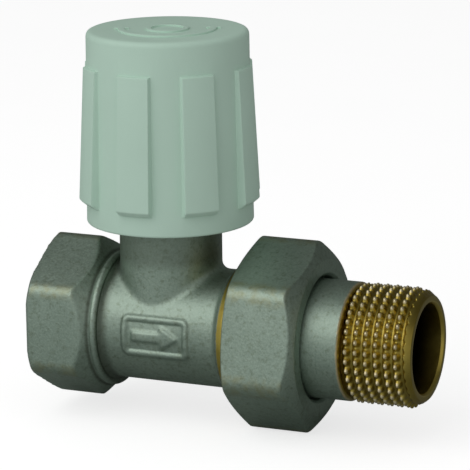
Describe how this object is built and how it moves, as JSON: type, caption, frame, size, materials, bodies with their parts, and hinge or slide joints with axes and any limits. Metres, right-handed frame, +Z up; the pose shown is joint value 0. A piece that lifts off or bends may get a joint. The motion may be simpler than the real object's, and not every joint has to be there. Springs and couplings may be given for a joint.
{
  "type": "lockshield valve",
  "caption": "Straight lockshield radiator valve: nickel-plated brass body with female inlet, ribbed white shield cap over the spindle, union nut and male tail.",
  "frame": {"origin": "centre of the inlet mouth, on the pipe axis", "axes": "+X along the pipe axis from the inlet to the tail, +Z up the neck to the cap, +Y across"},
  "size_m": [0.0708, 0.0322, 0.0698],
  "materials": {
    "nickel_casting": "satin nickel plate on tumbled brass casting",
    "nickel_nut": "satin nickel plate on forged brass",
    "nickel_tail": "satin nickel plate, thread end bare brass",
    "brass_turned": "turned",
    "brass_spindle": "turned",
    "copper_washer": "soft annealed",
    "steel_spring": "bright",
    "packing": "graphited",
    "rubber_seal": "matt",
    "cap_plastic": "satin moulded",
    "sleeve_nylon": "matt moulded"
  },
  "bodies": {
    "valve": {"valve_body": "nickel_casting", "headwork": "brass_turned", "headwork_washer": "copper_washer", "gland_washer": "brass_turned", "gland_packing": "packing", "gland_follower": "brass_turned", "gland_nut": "brass_turned", "gland_o_ring": "rubber_seal"},
    "plug": {"jumper": "brass_turned", "jumper_clip": "steel_spring", "seat_washer": "rubber_seal", "washer_screw": "steel_spring"},
    "spindle": {"spindle": "brass_spindle", "thrust_washer": "steel_spring"},
    "sleeve": {"cap_sleeve": "sleeve_nylon", "cap_grip_ring": "rubber_seal"},
    "cap": {"cap_shell": "cap_plastic", "cap_snap_ring": "steel_spring"},
    "tail": {"tailpiece": "nickel_tail", "tail_o_ring": "rubber_seal"},
    "nut": {"union_nut": "nickel_nut"}
  },
  "joints": [
    {"name": "plug_lift", "type": "slide", "parent": "valve", "child": "plug", "axis": [0, 0, 1], "range_m": [0, 0.0035]},
    {"name": "spindle_turn", "type": "hinge", "parent": "plug", "child": "spindle", "pos_m": [0.0226, 0, 0.02], "axis": [0, 0, 1], "range_deg": [0, 1260]},
    {"name": "cap_pull", "type": "slide", "parent": "valve", "child": "sleeve", "axis": [0, 0, 1], "range_m": [0, 0.036]},
    {"name": "cap_spin", "type": "hinge", "parent": "sleeve", "child": "cap", "pos_m": [0.0226, 0, 0.03], "axis": [0, 0, 1], "continuous": true},
    {"name": "tail_draw", "type": "slide", "parent": "valve", "child": "tail", "axis": [1, 0, 0], "range_m": [0, 0.0088]},
    {"name": "nut_turn", "type": "hinge", "parent": "tail", "child": "nut", "pos_m": [0.044, 0, 0], "axis": [1, 0, 0], "range_deg": [0, 1746.5]}
  ],
  "couplings": [
    {"joint": "spindle_turn", "follows": "plug_lift", "rad_per_m": 6283.2},
    {"joint": "nut_turn", "follows": "tail_draw", "rad_per_m": 3463.7}
  ]
}
